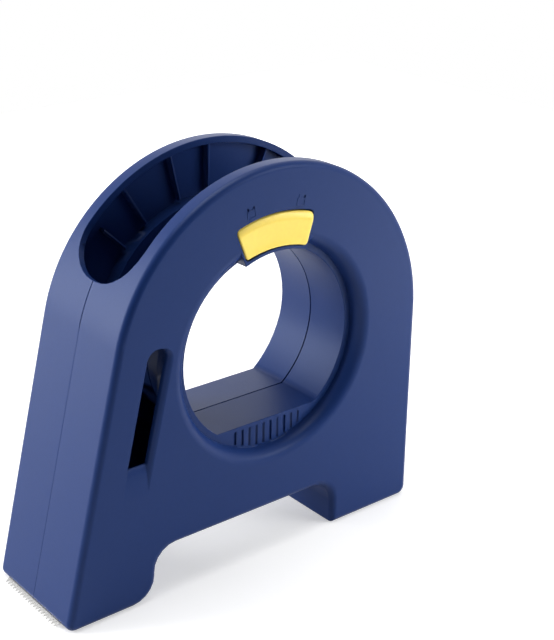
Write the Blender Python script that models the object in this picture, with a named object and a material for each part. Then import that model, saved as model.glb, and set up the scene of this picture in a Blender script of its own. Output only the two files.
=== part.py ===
import math

import bmesh
import bpy
from mathutils import Matrix, Vector

MM = 0.001

# Case: a round top about the hub axis, a leaning front and two feet.
# x runs from the hub axis to the rear, y from the seam to the plain side, z up from the floor.
AXIS_HEIGHT = 78.0 * MM
CASE_WIDTH = 46.4 * MM
FRONT_LEAN = math.radians(13.7)
PERIMETER_WALL = 2.4 * MM
SIDE_WALL = 2.4 * MM
EDGE_RADIUS = 2.4 * MM
SEAM_GAP = 0.16 * MM
HUB_SEAM_GAP = 0.45 * MM

# Feet and the arch between them
ARCH_HEIGHT = 18.4 * MM
FRONT_FOOT_LENGTH = 34.3 * MM
REAR_FOOT_LENGTH = 38.0 * MM
NOSE_RADIUS = 2.6 * MM
HEEL_RADIUS = 9.4 * MM
FRONT_ARCH_RADIUS = 8.2 * MM
REAR_ARCH_RADIUS = 9.2 * MM
TOE_RADIUS = 1.0 * MM
REAR_RADIUS = 3.5 * MM

# Clearances and overruns
FIT_GAP = 0.3 * MM
OVERRUN = 2.0 * MM
FLOOR_GAP = 0.3 * MM

# Hub: a D-shaped tube through which the hand goes, the dish round its mouth and the band outside that
HUB_RADIUS = 37.6 * MM
HUB_WALL = 2.6 * MM
BORE_DRAFT = 0.8 * MM
PALM_SHARE = 0.789
PALM_DRAFT = 0.7 * MM
PALM_WALL = 2.5 * MM
DISH_RISE = 4.6 * MM
DISH_DEPTH = 5.5 * MM
DISH_LEDGE = 2.3 * MM
DISH_WALL = 2.3 * MM
DISH_BACK_MARGIN = 1.9 * MM
SIDE_BAND = 22.8 * MM

# Upright finger grooves in the wall under the palm rest
GROOVE_COUNT = 10
GROOVE_PITCH = 3.1 * MM
GROOVE_WIDTH = 1.1 * MM
GROOVE_DEPTH = 0.5 * MM
GROOVE_HEAD = 1.4 * MM
GROOVE_FOOT = 0.4 * MM

# Mouth over the top, through which the roll is seen and turned
MOUTH_HALF_WIDTH = 16.7 * MM
MOUTH_CORNER = 15.5 * MM
MOUTH_END_ANGLE = math.radians(28.8)

# Ribs inside the side walls, which keep the roll in the middle
RIB_ANGLES = [math.radians(angle) for angle in (46.0, 64.0, 88.0, 103.0, 122.0, 136.0)]
RIB_RISE = 7.9 * MM
RIB_THICKNESS = 1.0 * MM
RIB_REACH = 2.4 * MM
FRONT_RIB_INSET = 8.0 * MM

# Slot in each side, in line with the tape's way down to the nose
SLOT_SETBACK_SHARE = 0.509
SLOT_WIDTH_SHARE = 0.351
SLOT_DROP = 26.5 * MM
SLOT_RISE = 13.3 * MM
SLOT_CORNER = 0.5 * MM
SLOT_RAMP_DEPTH = 1.6 * MM
SLOT_RAMP_SIDE = 2.8 * MM
SLOT_RAMP_FOOT = 12.0 * MM

# Pins that register the two halves
PIN_RADIUS = 1.5 * MM
PIN_REACH = 6.0 * MM
PIN_BOSS_RADIUS = 3.3 * MM
REAR_PIN_INSET = 19.0 * MM
REAR_PIN_HEIGHT = 12.0 * MM
FRONT_PIN_OFFSET = 5.0 * MM
FRONT_PIN_RISE = 8.6 * MM
RIM_PIN_INSET = 5.0 * MM
RIM_PIN_MARGIN = math.radians(6.0)

# Rollers and their fixed axles
AXLE_RADIUS = 2.0 * MM
AXLE_SEAT = 4.2 * MM
AXLE_BOSS_WALL = 1.4 * MM
ROLLER_LENGTH = 27.6 * MM
ROLLER_BORE_GAP = 0.3 * MM
GUIDE_RADIUS = 5.0 * MM
GUIDE_FLANGE = 0.8 * MM
GUIDE_FLANGE_WIDTH = 1.0 * MM
GUIDE_SETBACK = 17.5 * MM
GUIDE_HEIGHT = 25.0 * MM
PRESS_CORE_RADIUS = 4.2 * MM
PRESS_RADIUS = 6.2 * MM
PRESS_SETBACK = 15.4 * MM
PRESS_GROOVES = 8
PRESS_GROOVE_DEPTH = 0.4 * MM

# Opening under the nose, where the tape leaves
EXIT_HALF_WIDTH = 14.5 * MM
EXIT_MARGIN = 2.0 * MM

# Cutter across the nose and the bar that holds it
BLADE_HALF_WIDTH = 17.0 * MM
BLADE_THICKNESS = 0.4 * MM
BLADE_TOP = 10.5 * MM
BLADE_BEND = 1.5 * MM
BLADE_REACH = 1.2 * MM
BLADE_TEETH = 20
TOOTH_LENGTH = 1.9 * MM
NOSE_LIP = 0.9 * MM
NOSE_LIFT = 1.9 * MM
BAR_THICKNESS = 2.4 * MM
BAR_BOTTOM = 2.8 * MM
BAR_TOP = 12.0 * MM
BAR_PEG_RADIUS = 1.1 * MM
BAR_PEG_SPACING = 22.0 * MM
BAR_PEG_HEIGHT = 7.2 * MM
LUG_THICKNESS = 2.2 * MM
LUG_BOTTOM = 10.0 * MM
LUG_TOP = 25.0 * MM
LUG_DEPTH = 6.7 * MM
LUG_SCREW_RISE = 4.0 * MM
SCREW_RADIUS = 1.0 * MM
SCREW_HEAD_RADIUS = 2.1 * MM
SCREW_HEAD_HEIGHT = 1.3 * MM
SCREW_LENGTH = 4.6 * MM
SCREW_SLOT_WIDTH = 0.6 * MM
SCREW_SLOT_DEPTH = 0.5 * MM
SCREW_BOSS_RADIUS = 2.6 * MM

# Lock: a rocker over the hub whose hook swings sideways behind a keeper
ROCKER_INSET = 0.4 * MM
ROCKER_HEIGHT = 11.5 * MM
ROCKER_HALF_ANGLE = math.radians(19.0)
ROCKER_LEAN = math.radians(1.8)
ROCKER_THICKNESS = 2.3 * MM
ROCKER_PROUD = 1.0 * MM
ROCKER_DISH = 0.6 * MM
ROCKER_EDGE = 0.5 * MM
ROCKER_CORNER = 1.3 * MM
ROCKER_TILT = math.radians(3.4)
ROCKER_RIB_HALF = 3.2 * MM
ROCKER_RIB_START = 0.25
ROCKER_RIB_END = 0.91
POCKET_GAP = 0.45 * MM
POCKET_DEPTH = 2.6 * MM
BLOCK_LEDGE = 0.6 * MM
BLOCK_MARGIN = math.radians(1.6)
HOUSING_MARGIN = 2.8 * MM
HOUSING_DEPTH = 6.6 * MM
PIVOT_DEPTH = 4.0 * MM
PIVOT_RADIUS = 1.0 * MM
PIVOT_TAIL = 2.2 * MM
PIVOT_FOOT = 1.4 * MM
RIB_ROOM = 0.9 * MM
RIVET_RADIUS = 1.0 * MM
HOOK_THICKNESS = 0.9 * MM
HOOK_HALF_WIDTH = 3.2 * MM
HOOK_TAB_RISE = 7.0 * MM
HOOK_NOSE = 2.0 * MM
HOOK_NOSE_LENGTH = 1.9 * MM
HOOK_SWING = 2.9 * MM
HOOK_FLOOR = 1.3 * MM
KEEPER_THICKNESS = 1.4 * MM
KEEPER_GAP = 0.35 * MM
CHAMBER_DEPTH = 4.9 * MM

# Facets
TOP_STEPS = 64
FILLET_STEPS = 5
EDGE_STEPS = 4
BORE_STEPS = 64
DISH_STEPS = 8
RAMP_STEPS = 4
MOUTH_STEPS = 36
MOUTH_CORNER_STEPS = 8
ROCKER_STEPS = 10
ROUND_SIDES = 20
SCREW_SIDES = 16
ROUND_SHARE = 0.15

# Places that follow from the sizes above
HALF_WIDTH = CASE_WIDTH / 2
SEAM_FACE = SEAM_GAP / 2
INNER_FACE = HALF_WIDTH - SIDE_WALL
WALL_MIDDLE = HALF_WIDTH - SIDE_WALL / 2
DISH_FLOOR = HALF_WIDTH - DISH_DEPTH
DISH_BACK = DISH_FLOOR - DISH_WALL
BORE_RADIUS = HUB_RADIUS - HUB_WALL
PALM_DEPTH = PALM_SHARE * BORE_RADIUS
LEDGE_RADIUS = BORE_RADIUS + DISH_LEDGE
DISH_RADIUS = HUB_RADIUS + DISH_RISE
CASE_RADIUS = DISH_RADIUS + SIDE_BAND
RIB_INNER_RADIUS = HUB_RADIUS + RIB_RISE
SLOT_SETBACK = SLOT_SETBACK_SHARE * SIDE_BAND
SLOT_WIDTH = SLOT_WIDTH_SHARE * SIDE_BAND
SLOT_BOTTOM = AXIS_HEIGHT - SLOT_DROP
SLOT_TOP = AXIS_HEIGHT + SLOT_RISE
HALF_TURN = math.pi
TOP_ANGLE = HALF_TURN / 2
ROLLER_HALF = ROLLER_LENGTH / 2
BOSS_FACE = ROLLER_HALF + FIT_GAP
AXLE_END = BOSS_FACE + AXLE_SEAT
AXLE_HOLE = AXLE_RADIUS + FIT_GAP


def front_x(z, depth):
    """x of the plane that lies depth behind the leaning front face."""
    lean = math.sin(FRONT_LEAN) * (z - AXIS_HEIGHT)
    return (lean - (CASE_RADIUS - depth)) / math.cos(FRONT_LEAN)


NOSE_X = front_x(NOSE_RADIUS, NOSE_RADIUS) - NOSE_RADIUS
TIP_X = front_x(0, 0) - BLADE_REACH
HEEL_X = NOSE_X + FRONT_FOOT_LENGTH
REAR_FOOT_X = CASE_RADIUS - REAR_FOOT_LENGTH

BLADE_DEPTH = NOSE_LIP + FIT_GAP
BAR_DEPTH = BLADE_DEPTH + BLADE_THICKNESS + FIT_GAP
BAR_BACK = BAR_DEPTH + BAR_THICKNESS
LUG_BACK = BAR_BACK + LUG_DEPTH

PRESS_HEIGHT = FLOOR_GAP + PRESS_RADIUS
PRESS_X = front_x(PRESS_HEIGHT, PRESS_SETBACK)
GUIDE_X = front_x(GUIDE_HEIGHT, GUIDE_SETBACK)

ROCKER_INNER_RADIUS = HUB_RADIUS - ROCKER_INSET
ROCKER_OUTER_RADIUS = ROCKER_INNER_RADIUS + ROCKER_HEIGHT
ROCKER_RIB_FOOT = AXIS_HEIGHT + ROCKER_INNER_RADIUS + ROCKER_RIB_START * ROCKER_HEIGHT
ROCKER_RIB_HEAD = AXIS_HEIGHT + ROCKER_INNER_RADIUS + ROCKER_RIB_END * ROCKER_HEIGHT
ROCKER_FACE = HALF_WIDTH + ROCKER_PROUD
POCKET_FLOOR = HALF_WIDTH - POCKET_DEPTH
HOUSING_BACK = HALF_WIDTH - HOUSING_DEPTH
PIVOT_Y = HALF_WIDTH - PIVOT_DEPTH
HOOK_BOTTOM = AXIS_HEIGHT + BORE_RADIUS + HOOK_FLOOR + FIT_GAP
HOOK_TOP = HOOK_BOTTOM + HOOK_THICKNESS
RIB_BACK = PIVOT_Y - PIVOT_RADIUS - FIT_GAP - ROCKER_EDGE
HOOK_NOSE_FACE = SEAM_FACE + KEEPER_THICKNESS + KEEPER_GAP

# The world's origin lies under the middle of the whole object, proud rocker and all
ROCKER_TOP_ANGLE = ROCKER_HALF_ANGLE - ROCKER_LEAN - ROCKER_EDGE / ROCKER_OUTER_RADIUS
ROCKER_REACH = (ROCKER_OUTER_RADIUS - ROCKER_EDGE) * math.sin(ROCKER_TOP_ANGLE)
ROCKER_OUT = (ROCKER_FACE - PIVOT_Y) * math.cos(ROCKER_TILT) + ROCKER_REACH * math.sin(ROCKER_TILT)
SEAM_Y = (PIVOT_Y + ROCKER_OUT - HALF_WIDTH) / 2
AXIS_X = -(TIP_X + CASE_RADIUS) / 2


def clear_scene():
    for old in list(bpy.data.objects):
        bpy.data.objects.remove(old)


def material(name, colour, roughness, metallic):
    """A plain Principled finish."""
    made = bpy.data.materials.new(name)
    made.use_nodes = True
    shader = made.node_tree.nodes["Principled BSDF"]
    shader.inputs["Base Color"].default_value = (*colour, 1)
    shader.inputs["Roughness"].default_value = roughness
    shader.inputs["Metallic"].default_value = metallic
    made.diffuse_color = (*colour, 1)
    return made


def mesh_object(name, bm):
    """Turn a bmesh into an object, with its faces pointing out."""
    bmesh.ops.recalc_face_normals(bm, faces=bm.faces)
    mesh = bpy.data.meshes.new(name)
    bm.to_mesh(mesh)
    bm.free()
    made = bpy.data.objects.new(name, mesh)
    bpy.context.scene.collection.objects.link(made)
    return made


def loft(name, sections):
    """A closed body through sections of equally many points, with flat ends."""
    bm = bmesh.new()
    rings = [[bm.verts.new(point) for point in section] for section in sections]
    count = len(rings[0])
    for one, two in zip(rings, rings[1:]):
        for i in range(count):
            j = (i + 1) % count
            bm.faces.new((one[i], one[j], two[j], two[i]))
    bm.faces.new(list(reversed(rings[0])))
    bm.faces.new(rings[-1])
    return mesh_object(name, bm)


def prism(name, outline, y_start, y_end):
    """An outline in x and z, run along y."""
    return loft(name, [[(x, y, z) for x, z in outline] for y in (y_start, y_end)])


def block(name, x_range, y_range, z_range):
    (x0, x1), (z0, z1) = x_range, z_range
    return prism(name, [(x0, z0), (x1, z0), (x1, z1), (x0, z1)], *y_range)


def rod(name, start, end, radius, sides=ROUND_SIDES, end_radius=None):
    """A round bar from start to end, tapered where end_radius is given."""
    start, end = Vector(start), Vector(end)
    along = (end - start).normalized()
    across = along.orthogonal().normalized()
    other = along.cross(across)
    sections = []
    for centre, size in ((start, radius), (end, radius if end_radius is None else end_radius)):
        turns = [2 * HALF_TURN * i / sides for i in range(sides)]
        sections.append([centre + size * (math.cos(a) * across + math.sin(a) * other) for a in turns])
    return loft(name, sections)


def turned(name, profile, centre, steps):
    """A profile of (radius, y) turned about a line along y, closed on that line at both ends."""
    cx, cz = centre
    bm = bmesh.new()
    rings = []
    for radius, y in profile:
        if radius == 0:
            rings.append([bm.verts.new((cx, y, cz))] * steps)
            continue
        turns = [2 * HALF_TURN * i / steps for i in range(steps)]
        rings.append([bm.verts.new((cx + radius * math.cos(a), y, cz + radius * math.sin(a))) for a in turns])
    for one, two in zip(rings, rings[1:]):
        for i in range(steps):
            j = (i + 1) % steps
            corners = [one[i], one[j], two[j], two[i]]
            corners = [v for k, v in enumerate(corners) if v is not corners[k - 1]]
            if len(corners) > 2:
                bm.faces.new(corners)
    return mesh_object(name, bm)


def tube(name, outer, inner, centre, half_length, steps=ROUND_SIDES):
    """A sleeve about a line along y; outer is a profile of (radius, y) from one end to the other."""
    cx, cz = centre
    loop = list(outer) + [(inner, half_length), (inner, -half_length)]
    bm = bmesh.new()
    rings = []
    for radius, y in loop:
        turns = [2 * HALF_TURN * i / steps for i in range(steps)]
        rings.append([bm.verts.new((cx + radius * math.cos(a), y, cz + radius * math.sin(a))) for a in turns])
    for k, one in enumerate(rings):
        two = rings[(k + 1) % len(rings)]
        for i in range(steps):
            j = (i + 1) % steps
            bm.faces.new((one[i], one[j], two[j], two[i]))
    return mesh_object(name, bm)


def combine(target, tool, operation):
    """Apply one Boolean to target and drop the tool."""
    step = target.modifiers.new(operation.lower(), "BOOLEAN")
    step.operation = operation
    step.solver = "EXACT"
    step.object = tool
    bpy.context.view_layer.update()
    graph = bpy.context.evaluated_depsgraph_get()
    result = bpy.data.meshes.new_from_object(target.evaluated_get(graph))
    target.modifiers.clear()
    target.data = result
    bpy.data.objects.remove(tool)


def add(target, *tools):
    for tool in tools:
        combine(target, tool, "UNION")


def cut(target, *tools):
    for tool in tools:
        combine(target, tool, "DIFFERENCE")


def polar(radius, angle):
    """A point round the hub axis; the angle is counted from the rear, over the top."""
    return radius * math.cos(angle), AXIS_HEIGHT + radius * math.sin(angle)


def circle(centre, radius, sides=ROUND_SIDES):
    cx, cz = centre
    turns = [2 * HALF_TURN * i / sides for i in range(sides)]
    return [(cx + radius * math.cos(a), cz + radius * math.sin(a)) for a in turns]


def fillet(before, corner, after, radius, steps):
    """The points of a round corner, no larger than half of the shorter side allows."""
    p, a, b = Vector(corner), Vector(before), Vector(after)
    to_a, to_b = (a - p), (b - p)
    half = to_a.angle(to_b) / 2
    reach = min(radius / math.tan(half), to_a.length / 2, to_b.length / 2)
    size = reach * math.tan(half)
    middle = (to_a.normalized() + to_b.normalized()).normalized()
    centre = p + middle * size / math.sin(half)
    start = p + to_a.normalized() * reach - centre
    end = p + to_b.normalized() * reach - centre
    turn = start.angle_signed(end)
    points = []
    for i in range(steps + 1):
        a = -turn * i / steps
        x = start.x * math.cos(a) - start.y * math.sin(a)
        z = start.x * math.sin(a) + start.y * math.cos(a)
        points.append((centre.x + x, centre.y + z))
    return points


def rounded(corners, steps=FILLET_STEPS):
    """A closed outline of (x, z, radius) corners."""
    points = []
    for i, (x, z, radius) in enumerate(corners):
        before, after = corners[i - 1], corners[(i + 1) % len(corners)]
        points += fillet(before[:2], (x, z), after[:2], radius, steps)
    return points


def shrunk(radius, inset):
    """An outer corner's radius after the outline has moved in."""
    return max(radius - inset, radius * ROUND_SHARE)


def case_outline(inset):
    """The case seen from the side, moved in by inset: the round top, then nose, feet and arch."""
    radius = CASE_RADIUS - inset
    low, arch = inset, ARCH_HEIGHT + inset
    front_end = HALF_TURN - FRONT_LEAN
    top = [polar(radius, front_end * i / TOP_STEPS) for i in range(TOP_STEPS + 1)]
    corners = [
        (front_x(low, inset), low, shrunk(NOSE_RADIUS, inset)),
        (HEEL_X - inset, low, shrunk(HEEL_RADIUS, inset)),
        (HEEL_X - inset, arch, FRONT_ARCH_RADIUS + inset),
        (REAR_FOOT_X + inset, arch, REAR_ARCH_RADIUS + inset),
        (REAR_FOOT_X + inset, low, shrunk(TOE_RADIUS, inset)),
        (radius, low, shrunk(REAR_RADIUS, inset)),
    ]
    points = list(top)
    chain = [top[-1]] + [corner[:2] for corner in corners] + [top[0]]
    for i, (x, z, size) in enumerate(corners):
        points += fillet(chain[i], (x, z), chain[i + 2], size, FILLET_STEPS)
    return points


def d_outline(radius, flat_depth):
    """A circle round the hub axis, cut flat at flat_depth below it."""
    dip = math.asin(flat_depth / radius)
    span = HALF_TURN + 2 * dip
    return [polar(radius, span * i / BORE_STEPS - dip) for i in range(BORE_STEPS + 1)]


def sector(inner, outer, half_angle, steps=9):
    """A piece of a ring, centred over the hub axis."""
    sweep = [2 * half_angle * i / steps - half_angle for i in range(steps + 1)]
    far = [polar(outer, TOP_ANGLE + ROCKER_LEAN + a) for a in sweep]
    near = [polar(inner, TOP_ANGLE + ROCKER_LEAN + a) for a in reversed(sweep)]
    return far + near


def rocker_outline(inset):
    """The rocker's outline: a piece of a ring with round corners, moved in by inset."""
    middle = (ROCKER_INNER_RADIUS + ROCKER_OUTER_RADIUS) / 2
    low, high = ROCKER_INNER_RADIUS + inset, ROCKER_OUTER_RADIUS - inset
    half = ROCKER_HALF_ANGLE * middle - inset
    size = shrunk(ROCKER_CORNER, inset)
    flat = rounded([(half, low, size), (half, high, size), (-half, high, size), (-half, low, size)])
    per_corner = FILLET_STEPS + 1
    points = []
    for i, (u, v) in enumerate(flat):
        points.append((u, v))
        if (i + 1) % (2 * per_corner) == 0:
            end_u, end_v = flat[(i + 1) % len(flat)]
            shares = [k / ROCKER_STEPS for k in range(1, ROCKER_STEPS)]
            points += [(u + (end_u - u) * share, v + (end_v - v) * share) for share in shares]
    return [polar(v, TOP_ANGLE + ROCKER_LEAN + u / middle) for u, v in points]


def plate(name, outline, side, near, far):
    """An outline run between two distances from the seam, on one side of it."""
    return prism(name, outline, side * near, side * far)


def outer_body(name, side):
    """The solid half of the case, with its outer edge rounded over."""
    sections = [(SEAM_FACE, 0)]
    for i in range(EDGE_STEPS + 1):
        turn = TOP_ANGLE * i / EDGE_STEPS
        y = HALF_WIDTH - EDGE_RADIUS * (1 - math.sin(turn))
        sections.append((y, EDGE_RADIUS * (1 - math.cos(turn))))
    return loft(name, [[(x, side * y, z) for x, z in case_outline(inset)] for y, inset in sections])


def dish_cutter(side):
    """The dish round the hand hole: a flat floor whose wall rolls over into the side face."""
    profile = [(0, side * DISH_FLOOR)]
    for i in range(DISH_STEPS + 1):
        turn = TOP_ANGLE * i / DISH_STEPS
        radius = LEDGE_RADIUS + (DISH_RADIUS - LEDGE_RADIUS) * (1 - math.cos(turn))
        depth = DISH_DEPTH * (1 - math.sin(turn))
        profile.append((radius, side * (HALF_WIDTH - depth)))
    past = side * (HALF_WIDTH + OVERRUN)
    profile += [(DISH_RADIUS, past), (0, past)]
    return turned("dish", profile, (0, AXIS_HEIGHT), BORE_STEPS)


def bore_cutter(side):
    """The hand hole: widest at its mouth, with the palm rest as its nearly flat floor."""
    run = 1 + OVERRUN / DISH_FLOOR
    sections = [
        (-OVERRUN, BORE_RADIUS - run * BORE_DRAFT, PALM_DEPTH - run * PALM_DRAFT),
        (DISH_FLOOR, BORE_RADIUS, PALM_DEPTH),
        (HALF_WIDTH + OVERRUN, BORE_RADIUS, PALM_DEPTH),
    ]
    return loft("bore", [[(x, side * y, z) for x, z in d_outline(r, depth)] for y, r, depth in sections])


def mouth_cutter():
    """The opening over the top: a slot with round corners, bent round the hub axis."""
    inner = CASE_RADIUS - PERIMETER_WALL - OVERRUN / 2
    outer = CASE_RADIUS + OVERRUN
    corner = min(MOUTH_CORNER, MOUTH_HALF_WIDTH)
    corner_angle = corner / CASE_RADIUS
    start, end = MOUTH_END_ANGLE, HALF_TURN - MOUTH_END_ANGLE
    stations = []
    for i in range(MOUTH_CORNER_STEPS):
        turn = TOP_ANGLE * i / MOUTH_CORNER_STEPS
        half = MOUTH_HALF_WIDTH - corner * (1 - math.sin(turn))
        stations.append((corner_angle * (1 - math.cos(turn)), half))
    straight = end - start - 2 * corner_angle
    places = [(start + a, w) for a, w in stations]
    places += [(start + corner_angle + straight * i / MOUTH_STEPS, MOUTH_HALF_WIDTH) for i in range(MOUTH_STEPS + 1)]
    places += [(end - a, w) for a, w in reversed(stations)]
    sections = []
    for angle, half in places:
        (xi, zi), (xo, zo) = polar(inner, angle), polar(outer, angle)
        sections.append([(xi, -half, zi), (xo, -half, zo), (xo, half, zo), (xi, half, zi)])
    return loft("mouth", sections)


def rib(side, angle, outer):
    """One guide rib on the inside of a side wall, pointing at the hub axis."""
    (xi, zi), (xo, zo) = polar(RIB_INNER_RADIUS, angle), polar(outer, angle)
    sx, sz = -math.sin(angle) * RIB_THICKNESS / 2, math.cos(angle) * RIB_THICKNESS / 2
    outline = [(xi - sx, zi - sz), (xo - sx, zo - sz), (xo + sx, zo + sz), (xi + sx, zi + sz)]
    return plate("rib", outline, side, WALL_MIDDLE, INNER_FACE - RIB_REACH)


def slot_outline(inset=0, side_run=0, foot_run=0):
    """The side slot, moved in by inset and run on to its rear and its foot."""
    front, back = SLOT_SETBACK + inset, SLOT_SETBACK + SLOT_WIDTH - inset + side_run
    low, high = SLOT_BOTTOM + inset - foot_run, SLOT_TOP - inset
    top_radius = SLOT_WIDTH / 2 - inset
    return rounded([
        (front_x(low, front), low, SLOT_CORNER),
        (front_x(low, back), low, SLOT_CORNER),
        (front_x(high, back), high, top_radius + side_run),
        (front_x(high, front), high, top_radius),
    ])


def ramp_cutter(side):
    """The shallow hollow behind and below the slot, deepest at the slot's edge and soft at its own."""
    sections = []
    for i in range(RAMP_STEPS + 1):
        share = 1 - i / RAMP_STEPS
        depth = SLOT_RAMP_DEPTH * ((1 - share) ** 2 - ROUND_SHARE ** 2)
        outline = slot_outline(FIT_GAP, share * SLOT_RAMP_SIDE, share * SLOT_RAMP_FOOT)
        sections.append([(x, side * (HALF_WIDTH - depth), z) for x, z in outline])
    return loft("ramp", sections)


def groove_cutters(side):
    """Upright grooves in the wall under the palm rest."""
    tools = []
    for i in range(GROOVE_COUNT):
        x = (i - (GROOVE_COUNT - 1) / 2) * GROOVE_PITCH
        edge = abs(x) + GROOVE_WIDTH / 2
        foot = AXIS_HEIGHT - math.sqrt(LEDGE_RADIUS ** 2 - edge ** 2) + GROOVE_FOOT
        head = AXIS_HEIGHT - PALM_DEPTH - GROOVE_HEAD
        x_range = (x - GROOVE_WIDTH / 2, x + GROOVE_WIDTH / 2)
        y_range = (side * (DISH_FLOOR - GROOVE_DEPTH), side * (DISH_FLOOR + OVERRUN))
        tools.append(block("groove", x_range, y_range, (foot, head)))
    return tools


def pin_places():
    """The four register pins, as points in x and z."""
    rim = CASE_RADIUS - RIM_PIN_INSET
    angle = MOUTH_END_ANGLE - RIM_PIN_MARGIN
    return [
        (CASE_RADIUS - REAR_PIN_INSET, REAR_PIN_HEIGHT),
        (HEEL_X + FRONT_PIN_OFFSET, ARCH_HEIGHT + FRONT_PIN_RISE),
        polar(rim, angle),
        polar(rim, HALF_TURN - angle),
    ]


def axle_places():
    return [(GUIDE_X, GUIDE_HEIGHT), (PRESS_X, PRESS_HEIGHT)]


def nose_cutters(side):
    """The rebate for cutter and bar, the raised lip of the front wall, and the tape's way out."""
    past_seam, end = -OVERRUN, BLADE_HALF_WIDTH + FIT_GAP
    back = BAR_BACK + FIT_GAP
    low, high = -OVERRUN, BAR_TOP + FIT_GAP
    rebate = [
        (front_x(low, NOSE_LIP), low),
        (front_x(low, back), low),
        (front_x(high, back), high),
        (front_x(high, NOSE_LIP), high),
    ]
    lip = [
        (NOSE_X - OVERRUN, low),
        (front_x(0, back), low),
        (front_x(0, back), NOSE_LIFT),
        (NOSE_X - OVERRUN, NOSE_LIFT),
    ]
    exit_end = PRESS_X + PRESS_RADIUS + EXIT_MARGIN
    way_out = [
        (front_x(0, PERIMETER_WALL), low),
        (exit_end, low),
        (exit_end, PERIMETER_WALL + OVERRUN / 2),
        (front_x(0, PERIMETER_WALL), PERIMETER_WALL + OVERRUN / 2),
    ]
    return [
        plate("rebate", rebate, side, past_seam, end),
        plate("lip", lip, side, past_seam, end),
        plate("way_out", way_out, side, past_seam, EXIT_HALF_WIDTH),
    ]


def case_half(name, side):
    """What both halves share. side is -1 for the half with the lock and 1 for the other."""
    half = outer_body(name, side)
    cut(half, plate("cavity", case_outline(PERIMETER_WALL), side, -OVERRUN, INNER_FACE))

    backing = circle((0, AXIS_HEIGHT), DISH_RADIUS + DISH_BACK_MARGIN, BORE_STEPS)
    hub = d_outline(HUB_RADIUS, PALM_DEPTH + PALM_WALL)
    hub_face = SEAM_FACE + (HUB_SEAM_GAP if side > 0 else 0)
    add(half, plate("backing", backing, side, WALL_MIDDLE, DISH_BACK))
    add(half, plate("hub", hub, side, WALL_MIDDLE, hub_face))
    wall = CASE_RADIUS - PERIMETER_WALL / 2
    for angle in RIB_ANGLES[:-1]:
        add(half, rib(side, angle, wall))
    add(half, rib(side, RIB_ANGLES[-1], CASE_RADIUS - FRONT_RIB_INSET))
    for place in pin_places():
        add(half, plate("pin_boss", circle(place, PIN_BOSS_RADIUS), side, WALL_MIDDLE, SEAM_FACE))
    for place in axle_places():
        boss = circle(place, AXLE_HOLE + AXLE_BOSS_WALL)
        add(half, plate("axle_boss", boss, side, WALL_MIDDLE, BOSS_FACE))
        hole_end = AXLE_END + FIT_GAP
        cut(half, plate("axle_hole", circle(place, AXLE_HOLE), side, BOSS_FACE - OVERRUN, hole_end))

    cut(half, bore_cutter(side), mouth_cutter(), *nose_cutters(side))
    cut(half, plate("slot", slot_outline(), side, INNER_FACE - OVERRUN, HALF_WIDTH + OVERRUN))
    cut(half, ramp_cutter(side))
    return half


def screw_places():
    """The two screws of the cutter bar's lug, as points in x and z."""
    depth = (BAR_BACK + LUG_BACK) / 2
    heights = (LUG_BOTTOM + LUG_SCREW_RISE, LUG_TOP - LUG_SCREW_RISE)
    return [(front_x(z, depth), z) for z in heights]


def screw_levels():
    """y of the lug's inner face, the lug's outer face and the screws' tips, from the seam."""
    lug_outer = BLADE_HALF_WIDTH
    lug_inner = lug_outer - LUG_THICKNESS
    return lug_inner, lug_outer, lug_inner + SCREW_LENGTH


def lock_passage(x_right, y_start, y_end, side):
    """Room over the bore for the hook's arm to swing in."""
    x_left = -(HOOK_HALF_WIDTH + HOOK_SWING + FIT_GAP)
    floor = HOOK_BOTTOM - FIT_GAP
    roof = AXIS_HEIGHT + HUB_RADIUS + OVERRUN / 2
    y_range = (side * y_start, side * y_end)
    return block("passage", (x_left, x_right), y_range, (floor, roof))


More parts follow.
